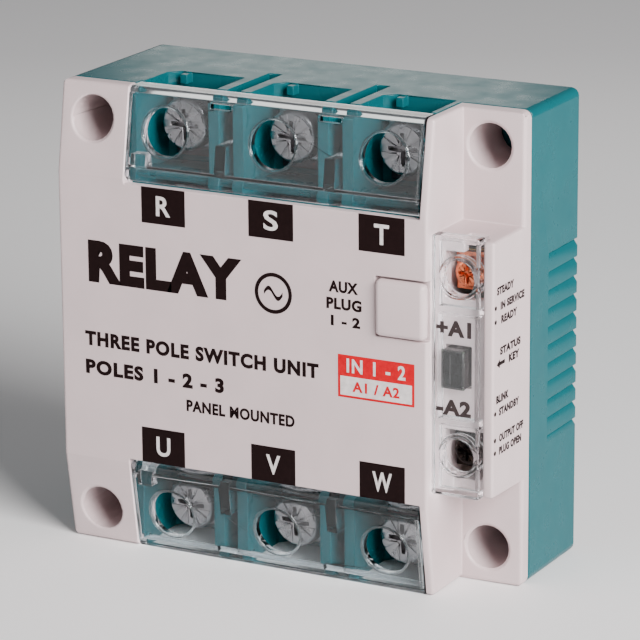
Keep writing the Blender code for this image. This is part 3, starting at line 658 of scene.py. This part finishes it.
def add_lamp_details():
    """A pale edge round the lens's front and a light rib down it, just behind the strip."""
    front = box_mm("lamp_lens")[0].y
    left, right, low, high = LENS_EDGES
    rim = bmesh.new()
    wide = 0.4
    for span_x, span_z in (
        ((left, left + wide), (low, high)),
        ((right - wide, right), (low, high)),
        ((left, right), (low, low + wide)),
        ((left, right), (high - wide, high)),
    ):
        add_box(rim, span_x, (front + 0.3, front - 0.08), span_z)
    rim = from_bmesh("lamp_lens_rim", rim, LOOKS["lamp_resin"])
    round_off(rim, 0.05)
    with_slot(rim, "root")
    rib = bmesh.new()
    middle = (left + right) / 2 - 0.5
    add_box(rib, (middle - 0.22, middle + 0.22), (front + 0.1, front - 0.12), (low + 0.9, high - 0.9))
    rib = from_bmesh("lamp_lens_rib", rib, LOOKS["lamp_resin"])
    round_off(rib, 0.08)
    with_slot(rib, "root")


# --------------------------------------------------------------- assembling


def dress_cad():
    """Finished copies of every CAD solid whose edges can be seen."""
    refined("front_cover", "shell", 0.18)
    refined("base_housing", "shell", 0.18)
    refined("base_plate", "milled", 0.2)
    refined("signal_connector_cap", "moulding", 0.12)
    refined("control_terminal_cover", "moulding", 0.16, 3)
    for node in ("upper_terminal_cover", "lower_terminal_cover"):
        refined(node, "moulding", 0.16, 3, "cover_plastic")
    refined("lamp_lens", "moulding", 0.12)
    for letter in "rstuvw":
        refined(f"terminal_screw_{letter}", "turned", 0.1)
        refined(f"clamp_washer_{letter}", "stamped", 0.15)
        refined(f"spring_washer_{letter}", "wound", 0.12)
        refined(f"terminal_bar_{letter}", "stamped", 0.18)
        refined(f"terminal_nut_{letter}", "turned", 0.2)
    for name in ("a1", "a2"):
        refined(f"control_screw_{name}", "turned", 0.08)
        refined(f"control_clamp_{name}", "stamped", 0.12)
        refined(f"control_terminal_{name}", "stamped", 0.12)
    for number in (1, 2, 3):
        refined(f"thyristor_module_{number}", "potted", 0.15)
        refined(f"optocoupler_{number}", "moulding", 0.12)
    for number in (1, 2, 3, 4):
        refined(f"housing_screw_{number}", "turned", 0.08)
    for letter in "rstuvw":
        add_head_lands(f"terminal_screw_{letter}", 4.35, 0.72, 0.19)
    for name in ("a1", "a2"):
        add_head_lands(f"control_screw_{name}", 1.95, 0.42, 0.08)
    add_cover_details("upper_terminal_cover", 1)
    add_cover_details("lower_terminal_cover", -1)
    add_lamp_details()
    for node in ("control_board", "signal_header", "overheat_switch", "input_capacitor", "status_led"):
        refined(node, "finished", 0.12)


# -------------------------------------------------------------------- studio


def set_camera():
    """The photograph's viewing angle: a long lens, right of the front and a little above."""
    azimuth, elevation, roll = math.radians(28.18), math.radians(16.02), math.radians(-0.42)
    reach = math.cos(elevation)
    back = Vector((math.sin(azimuth) * reach, -math.cos(azimuth) * reach, math.sin(elevation)))
    level = Vector((math.cos(azimuth), math.sin(azimuth), 0.0))
    upright = back.cross(level)
    right = math.cos(roll) * level + math.sin(roll) * upright
    up = -math.sin(roll) * level + math.cos(roll) * upright
    camera = bpy.data.cameras.new("camera")
    camera.sensor_width = 36.0
    camera.lens = 208.65
    camera.clip_start = 0.01
    holder = bpy.data.objects.new("camera", camera)
    where = Vector((317.47, -610.51, 192.34)) * MM
    turn = Matrix((right, up, back)).transposed().to_4x4()
    holder.matrix_world = Matrix.Translation(where) @ turn
    bpy.context.scene.collection.objects.link(holder)
    bpy.context.scene.camera = holder


def add_lamp(name, place, target, size, power, colour=(1.0, 1.0, 1.0)):
    lamp = bpy.data.lights.new(name, "AREA")
    lamp.shape = "RECTANGLE"
    lamp.size, lamp.size_y = size
    lamp.energy = power
    lamp.color = colour
    holder = bpy.data.objects.new(name, lamp)
    holder.location = Vector(place)
    holder.rotation_euler = (Vector(target) - Vector(place)).to_track_quat("-Z", "Y").to_euler()
    bpy.context.scene.collection.objects.link(holder)


def light_studio():
    world = bpy.data.worlds.new("studio")
    world.use_nodes = True
    world.node_tree.nodes["Background"].inputs["Color"].default_value = (0.95, 0.96, 1.0, 1.0)
    world.node_tree.nodes["Background"].inputs["Strength"].default_value = 0.17
    bpy.context.scene.world = world
    add_lamp("key", (0.75, -0.42, 0.42), (0.0, 0.0, 0.0), (0.5, 0.5), 24.0, (1.0, 0.97, 0.965))
    add_lamp("band", (-0.18, 0.33, 0.16), (0.0, 0.0, 0.04), (0.12, 0.14), 0.09, (1.0, 0.97, 0.92))
    add_lamp("fill", (-0.35, -1.0, 0.35), (0.0, 0.0, 0.0), (0.6, 0.6), 1.6, (1.0, 0.96, 0.95))


FLOOR_REACH = 4000.0


def add_floor():
    bm = bmesh.new()
    under = Matrix.Translation((0, 0, HOUSING_LOW.z - 0.05))
    bmesh.ops.create_grid(bm, x_segments=1, y_segments=1, size=FLOOR_REACH, matrix=under)
    surface = Surface("floor", (0.9, 0.9, 0.9), 0.6)
    surface.vary(200.0, 0.01)
    floor = from_bmesh("floor", bm, surface.made)


def main():
    dress_cad()
    print_terminal_letters()
    print_front_words()
    print_input_label()
    print_control_marks()
    print_side_words()
    add_floor()
    set_camera()
    light_studio()


main()
